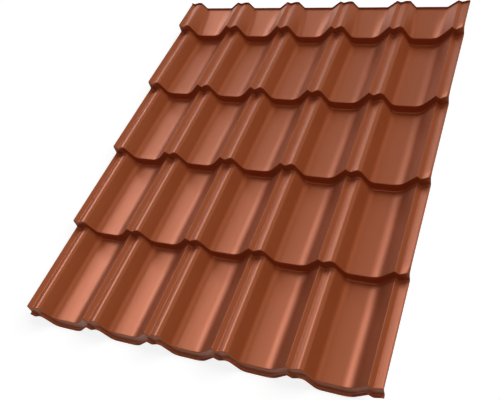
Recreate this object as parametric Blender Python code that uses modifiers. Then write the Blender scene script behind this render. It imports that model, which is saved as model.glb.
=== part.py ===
"""Tile effect metal roofing sheet, one roll formed and step pressed piece of coated steel.

The cross section of the waves runs along +X, and the sheet climbs the roof along +Y, from its
eave at the front to its head at the back. The section is carried along a stepped line, which
gives the rows of tiles. The origin is on the floor, under the middle of the sheet.
"""

import math

import bmesh
import bpy

# Overall layout
WAVE_PITCH = 0.230
WAVE_COUNT = 5
COURSE_LENGTH = 0.350
COURSE_COUNT = 4
HEAD_LENGTH = 0.155

# Steps between the courses
STEP_HEIGHT = 0.035
STEP_LEAN = 0.002
STEP_TOP_BEND = 0.003
STEP_FOOT_BEND = 0.005
EAVE_LIP = 0.010

# The head edge, with its pans pressed up to a shallower wave, which is flat where the full wave
# is lower than HEAD_PAN_FLAT, and with the edge folded up along it
HEAD_PAN_RISE = 0.030
HEAD_PAN_FLAT = 0.012
HEAD_UPSTAND = 0.008
HEAD_BEND = 0.001

# One wave of the section, measured from its sharp ridge and up from the pan
RIDGE_HEIGHT = 0.059
GROOVE_ACROSS = 0.015
GROOVE_HEIGHT = 0.043
ROLL_ACROSS = 0.048
ROLL_HEIGHT = 0.0606
FALL_RUN = 0.030
RISE_RUN = 0.062

# The cut right edge, on the crown of the last roll, from the last ridge
SIDE_EDGE = 0.042
SIDE_CROWN = 0.0025

# Inside and outside bends of the section
RIDGE_BEND = 0.0015
GROOVE_BEND = 0.005
ROLL_BEND = 0.009
PAN_BEND = 0.026
RISE_BEND = 0.090

# The steel with its coating, and how far a chord may leave a bend
SHEET_THICKNESS = 0.0005
SECTION_TOLERANCE = 0.0008
STEP_TOLERANCE = 0.0005
CREASE_ANGLE = math.radians(35)

COATING_COLOUR = (0.340, 0.095, 0.045, 1.0)
COATING_ROUGHNESS = 0.42


def clear_scene():
    for old in list(bpy.data.objects):
        bpy.data.objects.remove(old, do_unlink=True)


def direction(start, end):
    """Unit vector from one point to the next, and how far apart they are."""
    across, up = end[0] - start[0], end[1] - start[1]
    length = math.hypot(across, up)
    return (across / length, up / length), length


def bent_line(corners, tolerance):
    """Points along a line whose corners (across, up, bend radius) are rounded with arcs."""
    turns = []
    for before, here, after in zip(corners, corners[1:], corners[2:]):
        into, _ = direction(before, here)
        out, _ = direction(here, after)
        turn = math.atan2(into[0] * out[1] - into[1] * out[0], into[0] * out[0] + into[1] * out[1])
        turns.append(turn)
    turns = [0.0] + turns + [0.0]
    setbacks = [corner[2] * abs(math.tan(turn / 2)) for corner, turn in zip(corners, turns)]

    # A bend is limited by the straight runs on both of its sides
    fits = [1.0] * len(corners)
    for i in range(len(corners) - 1):
        _, length = direction(corners[i], corners[i + 1])
        needed = setbacks[i] + setbacks[i + 1]
        if needed > length:
            fits[i] = min(fits[i], length / needed)
            fits[i + 1] = min(fits[i + 1], length / needed)

    points = [corners[0][:2]]
    for i in range(1, len(corners) - 1):
        radius = corners[i][2] * fits[i]
        into, _ = direction(corners[i - 1], corners[i])
        setback = setbacks[i] * fits[i]
        side = math.copysign(1.0, turns[i])
        start = (corners[i][0] - into[0] * setback, corners[i][1] - into[1] * setback)
        centre = (start[0] - into[1] * radius * side, start[1] + into[0] * radius * side)
        chord = 2 * math.acos(1 - min(tolerance / corners[i][2], 1.0))
        count = max(1, math.ceil(abs(turns[i]) / chord))
        for step in range(count + 1):
            angle = turns[i] * step / count
            reach = (start[0] - centre[0], start[1] - centre[1])
            points.append((
                centre[0] + reach[0] * math.cos(angle) - reach[1] * math.sin(angle),
                centre[1] + reach[0] * math.sin(angle) + reach[1] * math.cos(angle),
            ))
    points.append(corners[-1][:2])
    return points


def section_corners():
    """Corners of the whole cross section, from the left edge on a ridge to the last roll."""
    corners = []
    for wave in range(WAVE_COUNT + 1):
        ridge = wave * WAVE_PITCH
        corners += [
            (ridge, RIDGE_HEIGHT, RIDGE_BEND),
            (ridge + GROOVE_ACROSS, GROOVE_HEIGHT, GROOVE_BEND),
            (ridge + ROLL_ACROSS, ROLL_HEIGHT, ROLL_BEND),
        ]
        if wave < WAVE_COUNT:
            corners += [
                (ridge + ROLL_ACROSS + FALL_RUN, 0.0, PAN_BEND),
                (ridge + WAVE_PITCH - RISE_RUN, 0.0, RISE_BEND),
            ]

    # The last roll stops on its crown
    groove, roll = corners[-2:]
    edge = WAVE_COUNT * WAVE_PITCH + SIDE_EDGE
    share = (edge - SIDE_CROWN - groove[0]) / (roll[0] - groove[0])
    crown = groove[1] + (roll[1] - groove[1]) * share
    corners[-1] = (edge - SIDE_CROWN, crown, ROLL_BEND)
    corners.append((edge, crown, 0.0))
    return corners


def course_corners():
    """Corners of the stepped line along the slope, from the head down to the eave lip."""
    fall = STEP_HEIGHT / COURSE_LENGTH
    head = COURSE_COUNT * COURSE_LENGTH + HEAD_LENGTH
    head_foot = STEP_HEIGHT - HEAD_LENGTH * fall
    corners = [(head, head_foot + HEAD_UPSTAND, 0.0), (head, head_foot, HEAD_BEND)]
    for course in range(COURSE_COUNT, -1, -1):
        front = course * COURSE_LENGTH
        corners.append((front, STEP_HEIGHT, STEP_TOP_BEND))
        corners.append((front - STEP_LEAN, 0.0, STEP_FOOT_BEND))
    corners.append((-STEP_LEAN - EAVE_LIP, 0.0, 0.0))
    return corners


def head_height(height):
    """The section's height at the head edge, for a point that is this high everywhere else."""
    share = (height - HEAD_PAN_FLAT) / (ROLL_HEIGHT - HEAD_PAN_FLAT)
    share = min(max(share, 0.0), 1.0)
    eased = share * share * (3.0 - 2.0 * share)
    return HEAD_PAN_RISE + (ROLL_HEIGHT - HEAD_PAN_RISE) * eased


def extrude_sheet(section, line):
    """The section's points made into edges, then extruded from station to station."""
    mesh = bmesh.new()
    wave = mesh.verts.layers.float.new("wave_height")
    head = line[0]
    points = [mesh.verts.new((across, head[0], up + head[1])) for across, up in section]
    for point, (_, up) in zip(points, section):
        point[wave] = up
    edges = [mesh.edges.new(pair) for pair in zip(points, points[1:])]
    for here, after in zip(line, line[1:]):
        pulled = bmesh.ops.extrude_edge_only(mesh, edges=edges)["geom"]
        moved = [item for item in pulled if isinstance(item, bmesh.types.BMVert)]
        edges = [item for item in pulled if isinstance(item, bmesh.types.BMEdge)]
        edges = [edge for edge in edges if edge.is_boundary and set(edge.verts) <= set(moved)]
        bmesh.ops.translate(mesh, verts=moved, vec=(0.0, after[0] - here[0], after[1] - here[1]))

    # The wave gets shallower from the last step to the head edge
    for point in mesh.verts:
        share = (point.co.y - COURSE_COUNT * COURSE_LENGTH) / HEAD_LENGTH
        point.co.z += max(share, 0.0) * (head_height(point[wave]) - point[wave])
    bmesh.ops.recalc_face_normals(mesh, faces=mesh.faces)
    if sum(face.normal.z for face in mesh.faces) < 0:
        bmesh.ops.reverse_faces(mesh, faces=mesh.faces)
    return mesh


def coating():
    """The matt clay red coating of the steel."""
    paint = bpy.data.materials.new("clay_red_coating")
    paint.use_nodes = True
    shader = paint.node_tree.nodes["Principled BSDF"]
    shader.inputs["Base Color"].default_value = COATING_COLOUR
    shader.inputs["Roughness"].default_value = COATING_ROUGHNESS
    shader.inputs["Metallic"].default_value = 0.0
    return paint


def roofing_sheet(collection):
    section = bent_line(section_corners(), SECTION_TOLERANCE)
    line = bent_line(course_corners(), STEP_TOLERANCE)
    shape = extrude_sheet(section, line)

    # The origin goes to the floor under the middle of the sheet
    middle_x = (section[0][0] + section[-1][0]) / 2
    middle_y = (line[0][0] + line[-1][0]) / 2
    bmesh.ops.translate(shape, verts=shape.verts, vec=(-middle_x, -middle_y, SHEET_THICKNESS))

    mesh = bpy.data.meshes.new("roofing_sheet")
    shape.to_mesh(mesh)
    shape.free()
    mesh.materials.append(coating())
    mesh.shade_smooth()
    mesh.set_sharp_from_angle(angle=CREASE_ANGLE)

    sheet = bpy.data.objects.new("roofing_sheet", mesh)
    collection.objects.link(sheet)
    steel = sheet.modifiers.new("steel thickness", "SOLIDIFY")
    steel.thickness = SHEET_THICKNESS
    steel.offset = -1.0
    steel.use_even_offset = True
    return sheet


def main():
    clear_scene()
    collection = bpy.data.collections.new("tile effect metal roofing sheet")
    bpy.context.scene.collection.children.link(collection)
    roofing_sheet(collection)


main()
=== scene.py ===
"""Tile effect metal roofing sheet, dressed for its picture.

The fine sheet takes the place of the plain one in the frame. It has the same number and pitch
of waves, the same rows and steps, and smooth bends. Its groove is a little nearer to the ridge,
its roll is rounder and the foot of its rise is tighter. The steps have eased corners at the cut
right edge. It has a satin clay red coat on the weather side, a pale backing coat below and bare
steel on its cut edges.
"""

import math

import bmesh
import bpy
from mathutils import Matrix, Vector


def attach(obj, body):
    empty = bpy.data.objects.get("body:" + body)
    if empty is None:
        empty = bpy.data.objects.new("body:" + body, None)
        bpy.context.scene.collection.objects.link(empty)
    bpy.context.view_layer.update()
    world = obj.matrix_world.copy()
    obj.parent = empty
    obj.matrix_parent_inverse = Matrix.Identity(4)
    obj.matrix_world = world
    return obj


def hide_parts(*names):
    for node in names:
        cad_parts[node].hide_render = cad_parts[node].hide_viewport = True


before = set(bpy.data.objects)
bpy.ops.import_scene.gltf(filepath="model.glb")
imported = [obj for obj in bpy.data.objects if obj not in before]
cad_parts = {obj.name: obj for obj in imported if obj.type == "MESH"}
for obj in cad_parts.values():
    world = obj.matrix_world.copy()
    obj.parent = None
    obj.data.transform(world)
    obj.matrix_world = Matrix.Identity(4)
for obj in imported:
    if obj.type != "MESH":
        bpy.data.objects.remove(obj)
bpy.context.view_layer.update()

bl_info = {
    "name": "Tile Effect Roofing Sheet",
    "version": (1, 0, 0),
    "blender": (4, 5, 0),
    "location": "View3D > Sidebar > Roofing",
    "description": "Adds a coated steel roofing sheet pressed into tiles, and a plain studio",
    "category": "Add Mesh",
}

SHEET_NODE = "roofing_sheet"

# Noise in the baked coat: the detail and breakup of each, and a fixed scale where it has one.
# The streaks are noise that is stretched along the coil, which is the length of the sheet.
GRAIN_DETAIL, GRAIN_BREAKUP = 3.0, 0.6
STREAK_STRETCH, STREAK_DETAIL, STREAK_BREAKUP = (60.0, 1.6, 60.0), 2.0, 0.5
CLOUD_SCALE, CLOUD_DETAIL, CLOUD_BREAKUP = 3.2, 3.0, 0.55
NOISE_MIDDLE = 0.5

# What the streaks and the grain add to the coat's tone beside the clouds, and to its roughness
STREAK_TONE, GRAIN_TONE = 0.5, 0.8
STREAK_ROUGHNESS, GRAIN_ROUGHNESS = 0.10, 0.12

# The backing coat is rougher than the weather coat, with a coarser grain and more clouding
BACKING_ROUGHNESS, BACKING_SPECULAR = 0.55, 0.4
BACKING_COARSER = 1.5

# The sheared steel's fine noise, and the roughness that it wanders between
SHEAR_SCALE = 900.0
SHEAR_SMOOTHEST, SHEAR_ROUGHEST = 0.35, 0.60

# Width of the picture that the camera's lens is given for, in millimetres
PICTURE_WIDTH = 36.0


def length(name, default, description):
    """A size in metres that a user may change."""
    return bpy.props.FloatProperty(
        name=name, description=description, default=default, min=0.0, precision=4, unit="LENGTH"
    )


def amount(name, default, description, highest=1.0):
    """A plain number that a user may change."""
    return bpy.props.FloatProperty(
        name=name, description=description, default=default, min=0.0, max=highest, precision=3
    )


def degrees(name, default, description):
    """An angle that a user sees in degrees."""
    return bpy.props.FloatProperty(
        name=name, description=description, default=math.radians(default), subtype="ANGLE"
    )


def colour(name, default, description):
    """A colour that a user may change."""
    return bpy.props.FloatVectorProperty(
        name=name, description=description, default=default, size=3, min=0.0, max=1.0,
        subtype="COLOR",
    )


def count(name, default, description):
    """A whole number that a user may change."""
    return bpy.props.IntProperty(name=name, description=description, default=default, min=1)


class RoofingSheetSizes(bpy.types.PropertyGroup):
    """Sizes of the sheet. Its groove, roll and rise differ a little from the plain sheet's."""

    wave_pitch: length("Wave Pitch", 0.230, "From one ridge to the next, across the sheet")
    wave_count: count("Waves", 5, "Whole waves across the sheet")
    row_length: length("Row Length", 0.350, "From one step to the next, along the slope")
    row_count: count("Rows", 4, "Whole rows of tiles, from the eave")
    head_length: length("Head Length", 0.155, "Length of the short row above the last step")

    step_height: length("Step Height", 0.035, "Drop at the front of each row")
    step_lean: length("Step Lean", 0.002, "How far the foot of a step is in front of its top")
    step_top_bend: length("Step Top Bend", 0.0031, "Bend at the top of a step")
    step_foot_bend: length("Step Foot Bend", 0.005, "Bend at the foot of a step")
    eave_lip: length("Eave Lip", 0.010, "Flat lip in front of the eave step")

    ridge_height: length("Ridge Height", 0.059, "Height of the sharp ridge over the pan")
    groove_across: length("Groove Place", 0.013, "From the ridge to the narrow groove")
    groove_height: length("Groove Height", 0.0452, "Height of the groove over the pan")
    roll_across: length(
        "Roll Place", 0.0462, "From the ridge to the corner that the roll rounds off"
    )
    roll_height: length("Roll Height", 0.0642, "Height of that corner over the pan")
    fall_run: length("Fall Run", 0.0318, "Width of the steep fall from the roll to the pan")
    rise_run: length("Rise Run", 0.056, "Width of the rise from the pan to the next ridge")
    ridge_bend: length("Ridge Bend", 0.0015, "Bend of the sharp ridge")
    groove_bend: length("Groove Bend", 0.005, "Bend of the groove")
    roll_bend: length("Roll Bend", 0.0140, "Bend of the roll")
    pan_bend: length("Pan Bend", 0.026, "Bend at the foot of the fall")
    rise_bend: length("Rise Bend", 0.060, "Bend at the foot of the rise")

    side_edge: length("Side Edge", 0.042, "From the last ridge to the cut edge on the roll's crown")
    ease_start: length("Ease Start", 0.026, "From the last ridge to where the steps begin to ease")
    ease_bend: length("Ease Bend", 0.014, "Bend at the top of a step, at the cut edge")

    head_pan_rise: length(
        "Head Pan Rise", 0.030, "How far the pans are pressed up at the head edge"
    )
    head_crest: length(
        "Head Crest", 0.0606, "Height of the crests over the pan line at the head edge"
    )
    head_pan_flat: length(
        "Head Pan Flat", 0.012, "Part of the wave's height that is flat at the head"
    )
    head_upstand: length("Head Upstand", 0.008, "Height of the fold along the head edge")
    head_bend: length("Head Bend", 0.001, "Bend at the foot of the head's fold")

    thickness: length("Steel", 0.0005, "Thickness of the steel with its coats")
    arc_angle: degrees("Arc Angle", 9.0, "Turn of one facet in a bend")
    longest_run: length("Longest Run", 0.032, "Longest facet along a row")


class CoatingFinish(bpy.types.PropertyGroup):
    """Finish of the coated steel."""

    clay_red: colour("Clay Red", (0.440, 0.109, 0.034), "Coat of the weather side")
    roughness: amount("Roughness", 0.43, "Roughness of the coat")
    metallic: amount("Metallic", 0.17, "Share of metal flake in the coat, which tints its sheen")
    specular: amount("Specular", 0.25, "Reflection level of the coat")
    grain: length("Grain", 0.0009, "Size of the coat's fine grain")
    grain_depth: length("Grain Depth", 0.000012, "Depth of the fine grain")
    cloud: amount("Clouding", 0.035, "How much the coat's tone wanders over the sheet")
    backing: colour("Backing", (0.48, 0.46, 0.42), "Coat of the underside")
    steel: colour("Cut Steel", (0.55, 0.56, 0.57), "Bare steel of the cut edges")


class StudioSetup(bpy.types.PropertyGroup):
    """Floor, light and camera."""

    floor_size: length("Floor Size", 60.0, "Side of the square floor")
    floor_tone: amount("Floor Tone", 0.42, "How much light the floor sends back")
    floor_glow: amount("Floor Glow", 0.86, "White that the camera sees on the floor besides")
    surround: amount("Surround", 0.05, "Light from all round")
    key: amount("Key", 1.32, "Strength of the high light", highest=20.0)
    key_turn: degrees("Key Turn", 125.0, "Side that the high light comes from, 0 from the front")
    key_tilt: degrees("Key Tilt", 42.0, "How far the high light leans from overhead")
    key_spread: degrees("Key Spread", 48.0, "Width of the high light, seen from the sheet")
    sheen: amount(
        "Sheen", 2.35, "Strength of the left light, which only the coat's sheen shows", highest=20.0
    )
    sheen_turn: degrees(
        "Sheen Turn", 239.0, "Side that the left light comes from, 0 from the front"
    )
    sheen_tilt: degrees("Sheen Tilt", 51.0, "How far the left light leans from overhead")
    sheen_spread: degrees("Sheen Spread", 34.0, "Width of the left light, seen from the sheet")
    strip: amount(
        "Strip", 0.38, "Strength of the low light, for the bright strips along the rises",
        highest=20.0,
    )
    strip_turn: degrees("Strip Turn", 233.0, "Side that the low light comes from, 0 from the front")
    strip_tilt: degrees("Strip Tilt", 76.0, "How far the low light leans from overhead")
    strip_spread: degrees("Strip Spread", 24.0, "Width of the low light, seen from the sheet")

    view_turn: degrees("View Turn", 39.9, "Side that the camera stands on, 0 in front")
    view_height: degrees("View Height", 49.83, "How steeply the camera looks down")
    view_roll: degrees(
        "View Roll", -25.32, "How far the camera is turned about its own line of sight"
    )
    view_reach: length("View Reach", 2.2997, "From the camera to what it looks at")
    view_across: length("View Across", -0.0775, "What the camera looks at, across the sheet")
    view_along: length("View Along", -0.2193, "What the camera looks at, along the sheet")
    view_up: length("View Up", 0.045, "What the camera looks at, over the floor")
    lens: amount("Lens", 47.38, "Focal length for a 36 mm wide picture", highest=500.0)
    shift: amount("Shift", 0.05, "Sideways shift of the picture")


def heading(start, end):
    """Angle of the run from one corner to the next."""
    return math.atan2(end[1] - start[1], end[0] - start[0])


def draw_line(corners, arc_angle):
    """A chain of edges along corners (across, up, bend), with every bend spun about its centre."""
    line = bmesh.new()
    tip = line.verts.new((corners[0][0], corners[0][1], 0.0))
    for before, here, after in zip(corners, corners[1:], corners[2:]):
        way, onward = heading(before, here), heading(here, after)
        turn = math.remainder(onward - way, math.tau)
        setback = here[2] * abs(math.tan(turn / 2))
        start = Vector((here[0] - setback * math.cos(way), here[1] - setback * math.sin(way), 0.0))
        tip = extend(line, tip, start)
        side = math.copysign(here[2], turn)
        centre = start + Vector((-side * math.sin(way), side * math.cos(way), 0.0))
        spun = bmesh.ops.spin(
            line, geom=[tip], cent=centre, axis=(0.0, 0.0, 1.0), angle=turn,
            steps=max(1, math.ceil(abs(turn) / arc_angle)),
        )["geom_last"]
        tip = [part for part in spun if isinstance(part, bmesh.types.BMVert)][0]
    extend(line, tip, Vector((corners[-1][0], corners[-1][1], 0.0)))
    return line


def extend(line, tip, place):
    """Pulls a new vertex out of the line's tip to a place."""
    pulled = bmesh.ops.extrude_vert_indiv(line, verts=[tip])["verts"]
    bmesh.ops.translate(line, verts=pulled, vec=place - tip.co)
    return pulled[0]


def section_corners(sizes):
    """Corners of the cross section, from the left edge on a ridge to the last roll's crown."""
    corners = []
    for wave in range(sizes.wave_count + 1):
        ridge = wave * sizes.wave_pitch
        corners += [
            (ridge, sizes.ridge_height, sizes.ridge_bend),
            (ridge + sizes.groove_across, sizes.groove_height, sizes.groove_bend),
            (ridge + sizes.roll_across, sizes.roll_height, sizes.roll_bend),
        ]
        if wave < sizes.wave_count:
            corners += [
                (ridge + sizes.roll_across + sizes.fall_run, 0.0, sizes.pan_bend),
                (ridge + sizes.wave_pitch - sizes.rise_run, 0.0, sizes.rise_bend),
            ]
    groove, roll = corners[-2:]
    edge = sizes.wave_count * sizes.wave_pitch + sizes.side_edge
    corners[-1:] = crown_corners(groove, roll, sizes.fall_run, edge)
    return corners


def crown_corners(groove, roll, fall_run, edge):
    """Corners of a roll that is cut on the crown that its bend would have."""
    up, down = heading(groove, roll), math.atan2(-roll[1], fall_run)
    setback = roll[2] * math.tan((up - down) / 2)
    crown = roll[1] - setback * math.sin(up) + roll[2] * (1.0 - math.cos(up))
    return [(groove[0] + (crown - groove[1]) / math.tan(up), crown, roll[2]), (edge, crown, 0.0)]


def slope_corners(sizes):
    """Corners of the stepped line along the slope, from the head's fold down to the eave lip."""
    head = sizes.row_count * sizes.row_length + sizes.head_length
    head_foot = sizes.step_height * (1.0 - sizes.head_length / sizes.row_length)
    corners = [(head, head_foot + sizes.head_upstand, 0.0), (head, head_foot, sizes.head_bend)]
    for row in range(sizes.row_count, -1, -1):
        front = row * sizes.row_length
        corners.append((front, sizes.step_height, sizes.step_top_bend))
        corners.append((front - sizes.step_lean, 0.0, sizes.step_foot_bend))
    corners.append((-sizes.step_lean - sizes.eave_lip, 0.0, 0.0))
    return corners


def split_runs(line, longest):
    """Cuts the line's long straight runs into shorter ones."""
    for edge in list(line.edges):
        cuts = math.ceil(edge.calc_length() / longest) - 1
        if cuts > 0:
            bmesh.ops.subdivide_edges(line, edges=[edge], cuts=cuts)


def stations(line):
    """Places of the line's vertices, from its first end to its last."""
    start = [vert for vert in line.verts if len(vert.link_edges) == 1]
    vert = max(start, key=lambda end: end.co.x)
    edge, places = None, [vert.co.copy()]
    while True:
        onward = [link for link in vert.link_edges if link is not edge]
        if not onward:
            return places
        edge = onward[0]
        vert = edge.other_vert(vert)
        places.append(vert.co.copy())


def carry_section(section, places):
    """Stands the section up and extrudes its edges from place to place along the slope."""
    wave = section.verts.layers.float.new("wave_height")
    for vert in section.verts:
        vert[wave] = vert.co.y
    bmesh.ops.rotate(section, verts=section.verts, matrix=Matrix.Rotation(math.pi / 2, 3, "X"))
    bmesh.ops.translate(section, verts=section.verts, vec=(0.0, places[0].x, places[0].y))
    edges = list(section.edges)
    for here, after in zip(places, places[1:]):
        pulled = bmesh.ops.extrude_edge_only(section, edges=edges)["geom"]
        moved = [part for part in pulled if isinstance(part, bmesh.types.BMVert)]
        rim = set(moved)
        edges = [part for part in pulled if isinstance(part, bmesh.types.BMEdge)]
        edges = [edge for edge in edges if rim.issuperset(edge.verts)]
        step = after - here
        bmesh.ops.translate(section, verts=moved, vec=(0.0, step.x, step.y))
    return wave


def press_head(sheet, wave, sizes):
    """Makes the wave shallower from the last step to the head edge."""
    depth = sizes.head_crest - sizes.head_pan_flat
    for vert in sheet.verts:
        along = (vert.co.y - sizes.row_count * sizes.row_length) / sizes.head_length
        if along > 0.0:
            share = min(max((vert[wave] - sizes.head_pan_flat) / depth, 0.0), 1.0)
            eased = share * share * (3.0 - 2.0 * share)
            height = sizes.head_pan_rise + (sizes.head_crest - sizes.head_pan_rise) * eased
            vert.co.z += along * (height - vert[wave])


def ease_side(sheet, wave, sizes):
    """Rounds the steps over beside the cut right edge, where nothing holds them in the press."""
    start = sizes.wave_count * sizes.wave_pitch + sizes.ease_start
    run = sizes.side_edge - sizes.ease_start
    for vert in sheet.verts:
        reach = (vert.co.x - start) / run
        row = round(vert.co.y / sizes.row_length)
        behind = vert.co.y - row * sizes.row_length
        bend = sizes.step_top_bend + (sizes.ease_bend - sizes.step_top_bend) * reach
        if reach > 0.0 and row > 0 and behind < bend:
            left = bend - max(behind, 0.0)
            drop = bend - math.sqrt(bend * bend - left * left)
            top = vert[wave] + sizes.step_height - drop
            vert.co.z = min(vert.co.z, top)


def object_from(shape, name, materials):
    """Makes the finished mesh an object in the scene, with its place in its mesh."""
    mesh = bpy.data.meshes.new(name)
    shape.to_mesh(mesh)
    shape.free()
    for material in materials:
        mesh.materials.append(material)
    mesh.shade_smooth()
    piece = bpy.data.objects.new(name, mesh)
    bpy.context.scene.collection.objects.link(piece)
    return piece


def new_group(name, inputs, outputs):
    """An empty node group with its sockets, each given as (name, kind, value)."""
    group = bpy.data.node_groups.new(name, "ShaderNodeTree")
    for socket, kind, value in inputs:
        made = group.interface.new_socket(name=socket, in_out="INPUT", socket_type=kind)
        if value is not None:
            made.default_value = value
    for socket, kind in outputs:
        group.interface.new_socket(name=socket, in_out="OUTPUT", socket_type=kind)
    return group, group.nodes.new("NodeGroupInput"), group.nodes.new("NodeGroupOutput")


def coil_coat_group():
    """The look of a coat baked on coil steel: fine grain, faint streaks along the coil, clouds."""
    group, given, made = new_group(
        "coil coat",
        [
            ("Place", "NodeSocketVector", None),
            ("Colour", "NodeSocketColor", (0.5, 0.5, 0.5, 1.0)),
            ("Roughness", "NodeSocketFloat", 0.4),
            ("Grain", "NodeSocketFloat", 0.001),
            ("Clouding", "NodeSocketFloat", 0.03),
        ],
        [
            ("Colour", "NodeSocketColor"),
            ("Roughness", "NodeSocketFloat"),
            ("Height", "NodeSocketFloat"),
        ],
    )
    nodes, links = group.nodes, group.links

    def math_node(operation, first, second, clamp=False):
        node = nodes.new("ShaderNodeMath")
        node.operation = operation
        node.use_clamp = clamp
        for socket, value in zip(node.inputs, (first, second)):
            if isinstance(value, (int, float)):
                socket.default_value = value
            else:
                links.new(value, socket)
        return node.outputs[0]

    def noise(scale, detail, roughness, place):
        node = nodes.new("ShaderNodeTexNoise")
        node.inputs["Detail"].default_value = detail
        node.inputs["Roughness"].default_value = roughness
        if isinstance(scale, (int, float)):
            node.inputs["Scale"].default_value = scale
        else:
            links.new(scale, node.inputs["Scale"])
        links.new(place, node.inputs["Vector"])
        return node.outputs["Fac"]

    def wander(value, share):
        return math_node("MULTIPLY", math_node("SUBTRACT", value, NOISE_MIDDLE), share)

    stretch = nodes.new("ShaderNodeVectorMath")
    stretch.operation = "MULTIPLY"
    stretch.inputs[1].default_value = STREAK_STRETCH
    links.new(given.outputs["Place"], stretch.inputs[0])

    grain_scale = math_node("DIVIDE", 1.0, given.outputs["Grain"])
    grain = noise(grain_scale, GRAIN_DETAIL, GRAIN_BREAKUP, given.outputs["Place"])
    streaks = noise(1.0, STREAK_DETAIL, STREAK_BREAKUP, stretch.outputs[0])
    clouds = noise(CLOUD_SCALE, CLOUD_DETAIL, CLOUD_BREAKUP, given.outputs["Place"])

    # Tone wanders about 1, mostly with the clouds and a little with the streaks and the grain
    tone = math_node("SUBTRACT", clouds, NOISE_MIDDLE)
    tone = math_node("ADD", tone, wander(streaks, STREAK_TONE))
    tone = math_node("ADD", tone, wander(grain, GRAIN_TONE))
    scaled = math_node("MULTIPLY_ADD", tone, given.outputs["Clouding"])
    scaled.node.inputs[2].default_value = 1.0

    tinted = nodes.new("ShaderNodeVectorMath")
    tinted.operation = "SCALE"
    links.new(given.outputs["Colour"], tinted.inputs[0])
    links.new(scaled, tinted.inputs["Scale"])
    links.new(tinted.outputs[0], made.inputs["Colour"])

    rough = math_node("ADD", wander(streaks, STREAK_ROUGHNESS), wander(grain, GRAIN_ROUGHNESS))
    rough = math_node("ADD", given.outputs["Roughness"], rough, clamp=True)
    links.new(rough, made.inputs["Roughness"])
    links.new(grain, made.inputs["Height"])
    return group


def coated_material(name, group, tint, roughness, metallic, specular, grain, depth, clouding):
    """A coat of paint baked on steel."""
    material = bpy.data.materials.new(name)
    material.use_nodes = True
    nodes, links = material.node_tree.nodes, material.node_tree.links
    shader = nodes["Principled BSDF"]
    shader.inputs["Metallic"].default_value = metallic
    shader.inputs["Specular IOR Level"].default_value = specular
    place = nodes.new("ShaderNodeTexCoord")
    coat = nodes.new("ShaderNodeGroup")
    coat.node_tree = group
    coat.inputs["Colour"].default_value = (*tint, 1.0)
    coat.inputs["Roughness"].default_value = roughness
    coat.inputs["Grain"].default_value = grain
    coat.inputs["Clouding"].default_value = clouding
    bump = nodes.new("ShaderNodeBump")
    bump.inputs["Distance"].default_value = depth
    links.new(place.outputs["Object"], coat.inputs["Place"])
    links.new(coat.outputs["Colour"], shader.inputs["Base Color"])
    links.new(coat.outputs["Roughness"], shader.inputs["Roughness"])
    links.new(coat.outputs["Height"], bump.inputs["Height"])
    links.new(bump.outputs["Normal"], shader.inputs["Normal"])
    return material


def cut_steel_material(tint):
    """Bare steel with its zinc, where the sheet was sheared."""
    material = bpy.data.materials.new("cut steel")
    material.use_nodes = True
    nodes, links = material.node_tree.nodes, material.node_tree.links
    shader = nodes["Principled BSDF"]
    shader.inputs["Base Color"].default_value = (*tint, 1.0)
    shader.inputs["Metallic"].default_value = 1.0
    place = nodes.new("ShaderNodeTexCoord")
    shear = nodes.new("ShaderNodeTexNoise")
    shear.inputs["Scale"].default_value = SHEAR_SCALE
    spread = nodes.new("ShaderNodeMapRange")
    spread.inputs["To Min"].default_value = SHEAR_SMOOTHEST
    spread.inputs["To Max"].default_value = SHEAR_ROUGHEST
    links.new(place.outputs["Object"], shear.inputs["Vector"])
    links.new(shear.outputs["Fac"], spread.inputs["Value"])
    links.new(spread.outputs["Result"], shader.inputs["Roughness"])
    return material


class MESH_OT_add_roofing_sheet(bpy.types.Operator):
    """Add the coated steel sheet with its waves, rows and steps"""

    bl_idname = "mesh.add_roofing_sheet"
    bl_label = "Add Roofing Sheet"
    bl_options = {"REGISTER", "UNDO"}

    def execute(self, context):
        sizes, finish = context.scene.roofing_sheet, context.scene.roofing_finish
        slope = draw_line(slope_corners(sizes), sizes.arc_angle)
        split_runs(slope, sizes.longest_run)
        places = stations(slope)
        slope.free()

        sheet = draw_line(section_corners(sizes), sizes.arc_angle)
        wave = carry_section(sheet, places)
        press_head(sheet, wave, sizes)
        ease_side(sheet, wave, sizes)
        bmesh.ops.recalc_face_normals(sheet, faces=sheet.faces)
        if sum(face.normal.z for face in sheet.faces) < 0.0:
            bmesh.ops.reverse_faces(sheet, faces=sheet.faces)
        for edge in sheet.edges:
            edge.smooth = not edge.is_boundary

        middle = Vector((
            -(sizes.wave_count * sizes.wave_pitch + sizes.side_edge) / 2,
            -(places[0].x + places[-1].x) / 2,
            sizes.thickness,
        ))
        bmesh.ops.translate(sheet, verts=sheet.verts, vec=middle)

        group = coil_coat_group()
        coat = coated_material(
            "clay red coat", group, finish.clay_red, finish.roughness, finish.metallic,
            finish.specular, finish.grain, finish.grain_depth, finish.cloud,
        )
        backing = coated_material(
            "backing coat", group, finish.backing, BACKING_ROUGHNESS, 0.0, BACKING_SPECULAR,
            finish.grain * BACKING_COARSER, finish.grain_depth, finish.cloud * BACKING_COARSER,
        )
        bare = cut_steel_material(finish.steel)
        piece = object_from(sheet, "tile_profile_sheet", [coat, backing, bare])
        steel = piece.modifiers.new("steel thickness", "SOLIDIFY")
        steel.thickness = sizes.thickness
        steel.offset = -1.0
        steel.use_even_offset = True
        steel.material_offset = 1
        steel.material_offset_rim = 2

        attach(piece, "root")
        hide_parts(SHEET_NODE)
        return {"FINISHED"}


def soft_sun(name, strength, turn, tilt, spread):
    """A wide soft light that comes from one side, 0 from the front."""
    light = bpy.data.lights.new(name, "SUN")
    light.energy = strength
    light.angle = spread
    lamp = bpy.data.objects.new(name, light)
    lamp.rotation_euler = (tilt, 0.0, turn)
    bpy.context.scene.collection.objects.link(lamp)
    return lamp


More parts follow.
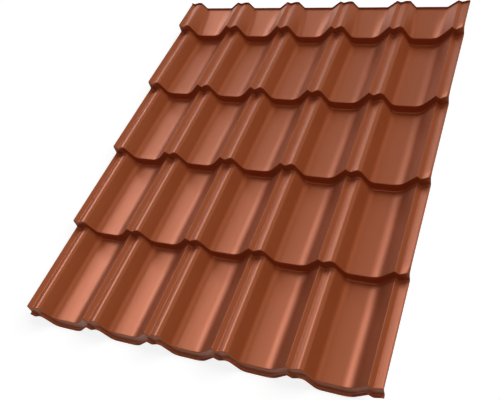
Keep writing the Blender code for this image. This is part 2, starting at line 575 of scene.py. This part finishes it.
def lights(studio):
    """A high light from the right and behind for the form, and two from the left for sheen."""
    high = soft_sun("high light", studio.key, studio.key_turn, studio.key_tilt, studio.key_spread)
    high.visible_glossy = False
    left = soft_sun(
        "left light", studio.sheen, studio.sheen_turn, studio.sheen_tilt, studio.sheen_spread
    )
    low = soft_sun(
        "low light", studio.strip, studio.strip_turn, studio.strip_tilt, studio.strip_spread
    )
    for lamp in (left, low):
        lamp.visible_diffuse = False


def seen_rays(nodes, links):
    """One where the camera, a reflection or glass looks, and nought for other light."""
    path = nodes.new("ShaderNodeLightPath")
    total = path.outputs["Is Camera Ray"]
    for ray in ("Is Glossy Ray", "Is Transmission Ray"):
        either = nodes.new("ShaderNodeMath")
        either.operation = "MAXIMUM"
        links.new(total, either.inputs[0])
        links.new(path.outputs[ray], either.inputs[1])
        total = either.outputs[0]
    return total


def floor(studio):
    """A plain pale floor that looks white and keeps the sheet's shadow."""
    plane = bmesh.new()
    bmesh.ops.create_grid(plane, x_segments=1, y_segments=1, size=studio.floor_size / 2)
    material = bpy.data.materials.new("pale floor")
    material.use_nodes = True
    nodes, links = material.node_tree.nodes, material.node_tree.links
    nodes.clear()
    matt = nodes.new("ShaderNodeBsdfDiffuse")
    matt.inputs["Color"].default_value = (studio.floor_tone,) * 3 + (1.0,)
    glow = nodes.new("ShaderNodeEmission")
    both = nodes.new("ShaderNodeAddShader")
    out = nodes.new("ShaderNodeOutputMaterial")
    share = nodes.new("ShaderNodeMath")
    share.operation = "MULTIPLY"
    share.inputs[1].default_value = studio.floor_glow
    links.new(seen_rays(nodes, links), share.inputs[0])
    links.new(share.outputs[0], glow.inputs["Strength"])
    links.new(matt.outputs[0], both.inputs[0])
    links.new(glow.outputs[0], both.inputs[1])
    links.new(both.outputs[0], out.inputs["Surface"])
    object_from(plane, "floor", [material])


def surround(studio):
    """Dim light from all round, and white where the camera or a reflection looks."""
    world = bpy.data.worlds.new("studio")
    bpy.context.scene.world = world
    world.use_nodes = True
    nodes, links = world.node_tree.nodes, world.node_tree.links
    strength = nodes.new("ShaderNodeMapRange")
    strength.inputs["To Min"].default_value = studio.surround
    backdrop = nodes["Background"]
    backdrop.inputs["Color"].default_value = (1.0, 1.0, 1.0, 1.0)
    links.new(seen_rays(nodes, links), strength.inputs["Value"])
    links.new(strength.outputs["Result"], backdrop.inputs["Strength"])


def camera(studio):
    """The camera, which looks down on the sheet from its right front."""
    lens = bpy.data.cameras.new("camera")
    lens.sensor_width = PICTURE_WIDTH
    lens.lens = studio.lens
    lens.shift_x = studio.shift
    turn, height = studio.view_turn, studio.view_height
    back = Vector((
        math.sin(turn) * math.cos(height), -math.cos(turn) * math.cos(height), math.sin(height),
    ))
    right = Vector((math.cos(turn), math.sin(turn), 0.0))
    axes = Matrix((right, back.cross(right), back)).transposed()
    target = Vector((studio.view_across, studio.view_along, studio.view_up))
    view = bpy.data.objects.new("camera", lens)
    view.matrix_world = (
        Matrix.Translation(target + back * studio.view_reach)
        @ axes.to_4x4()
        @ Matrix.Rotation(studio.view_roll, 4, "Z")
    )
    bpy.context.scene.collection.objects.link(view)
    bpy.context.scene.camera = view


class SCENE_OT_set_roofing_studio(bpy.types.Operator):
    """Set up the pale floor, the soft light and the camera"""

    bl_idname = "scene.set_roofing_studio"
    bl_label = "Set Up Studio"
    bl_options = {"REGISTER", "UNDO"}

    def execute(self, context):
        studio = context.scene.roofing_studio
        floor(studio)
        surround(studio)
        lights(studio)
        camera(studio)
        context.scene.view_settings.view_transform = "Standard"
        return {"FINISHED"}


class VIEW3D_PT_roofing_sheet(bpy.types.Panel):
    """Sizes, finish and studio of the roofing sheet"""

    bl_label = "Roofing Sheet"
    bl_space_type = "VIEW_3D"
    bl_region_type = "UI"
    bl_category = "Roofing"

    def draw(self, context):
        scene, layout = context.scene, self.layout
        groups = (
            (scene.roofing_sheet, MESH_OT_add_roofing_sheet),
            (scene.roofing_finish, None),
            (scene.roofing_studio, SCENE_OT_set_roofing_studio),
        )
        for group, operator in groups:
            box = layout.box()
            for name in group.__annotations__:
                box.prop(group, name)
            if operator:
                box.operator(operator.bl_idname)


CLASSES = (
    RoofingSheetSizes,
    CoatingFinish,
    StudioSetup,
    MESH_OT_add_roofing_sheet,
    SCENE_OT_set_roofing_studio,
    VIEW3D_PT_roofing_sheet,
)


def register():
    for each in CLASSES:
        bpy.utils.register_class(each)
    bpy.types.Scene.roofing_sheet = bpy.props.PointerProperty(type=RoofingSheetSizes)
    bpy.types.Scene.roofing_finish = bpy.props.PointerProperty(type=CoatingFinish)
    bpy.types.Scene.roofing_studio = bpy.props.PointerProperty(type=StudioSetup)


def unregister():
    del bpy.types.Scene.roofing_studio
    del bpy.types.Scene.roofing_finish
    del bpy.types.Scene.roofing_sheet
    for each in reversed(CLASSES):
        bpy.utils.unregister_class(each)


def main():
    register()
    bpy.ops.mesh.add_roofing_sheet()
    bpy.ops.scene.set_roofing_studio()


if __name__ == "__main__":
    main()
